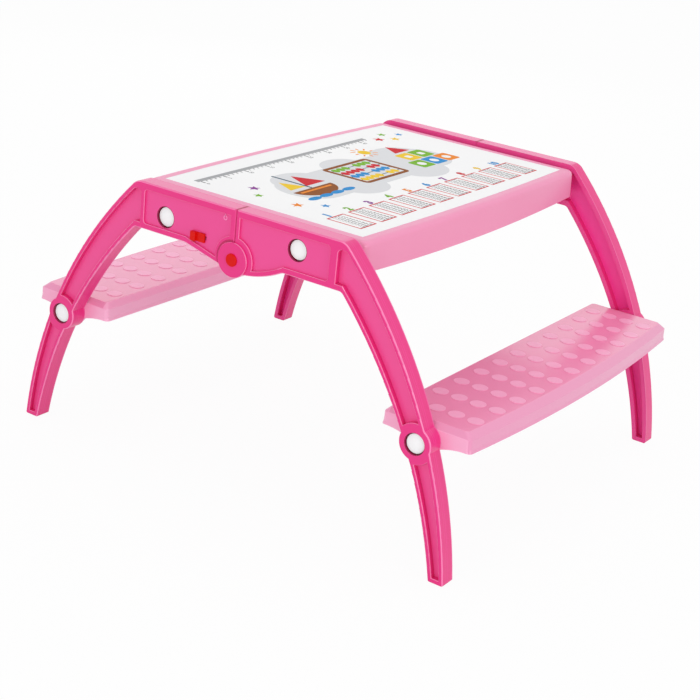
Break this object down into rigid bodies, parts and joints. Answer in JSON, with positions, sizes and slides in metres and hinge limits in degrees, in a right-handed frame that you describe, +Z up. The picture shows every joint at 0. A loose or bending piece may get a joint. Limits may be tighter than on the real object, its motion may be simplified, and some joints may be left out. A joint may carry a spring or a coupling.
{
  "type": "folding study table with benches",
  "caption": "Child's plastic study table with a bench on each side, on curved channel-section legs whose two frames fold together about hinges under the tray top.",
  "frame": {"origin": "on the floor under the middle of the table top", "axes": "+X from the left bench to the right bench, +Y from the near side to the far side, +Z up"},
  "size_m": [0.8044, 0.6824, 0.427],
  "materials": {
    "frame_pink": "satin moulded, dark pink",
    "panel_pink": "satin moulded, light pink",
    "print_sheet": "smooth printed sheet",
    "cap_white": "gloss, white",
    "latch_red": "satin moulded, red",
    "steel": "zinc plated"
  },
  "bodies": {
    "right_frame": {"leg_near_right": "frame_pink", "leg_far_right": "frame_pink", "table_top": "panel_pink", "top_sheet": "print_sheet", "bench_right": "panel_pink", "bench_bolts_right": "steel", "bench_nuts_right": "steel", "bench_caps_right": "cap_white", "tray_bolts": "steel", "tray_nuts": "steel", "arm_caps_right": "cap_white", "hinge_pins": "steel", "hinge_pin_caps": "latch_red", "hinge_clips": "steel"},
    "left_frame": {"leg_near_left": "frame_pink", "leg_far_left": "frame_pink", "bench_left": "panel_pink", "bench_bolts_left": "steel", "bench_nuts_left": "steel", "bench_caps_left": "cap_white", "rest_pegs": "steel", "peg_clips": "steel", "arm_caps_left": "cap_white"},
    "latch_near": {"latch_knob_near": "latch_red", "latch_bar_near": "steel"},
    "latch_far": {"latch_knob_far": "latch_red", "latch_bar_far": "steel"}
  },
  "joints": [
    {"name": "frame_fold", "type": "hinge", "parent": "right_frame", "child": "left_frame", "pos_m": [0, 0, 0.356], "axis": [0, -1, 0], "range_deg": [0, 85]},
    {"name": "latch_slide_near", "type": "slide", "parent": "left_frame", "child": "latch_near", "axis": [1, 0, 0], "range_m": [0, 0.009]},
    {"name": "latch_slide_far", "type": "slide", "parent": "left_frame", "child": "latch_far", "axis": [1, 0, 0], "range_m": [0, 0.009]}
  ]
}
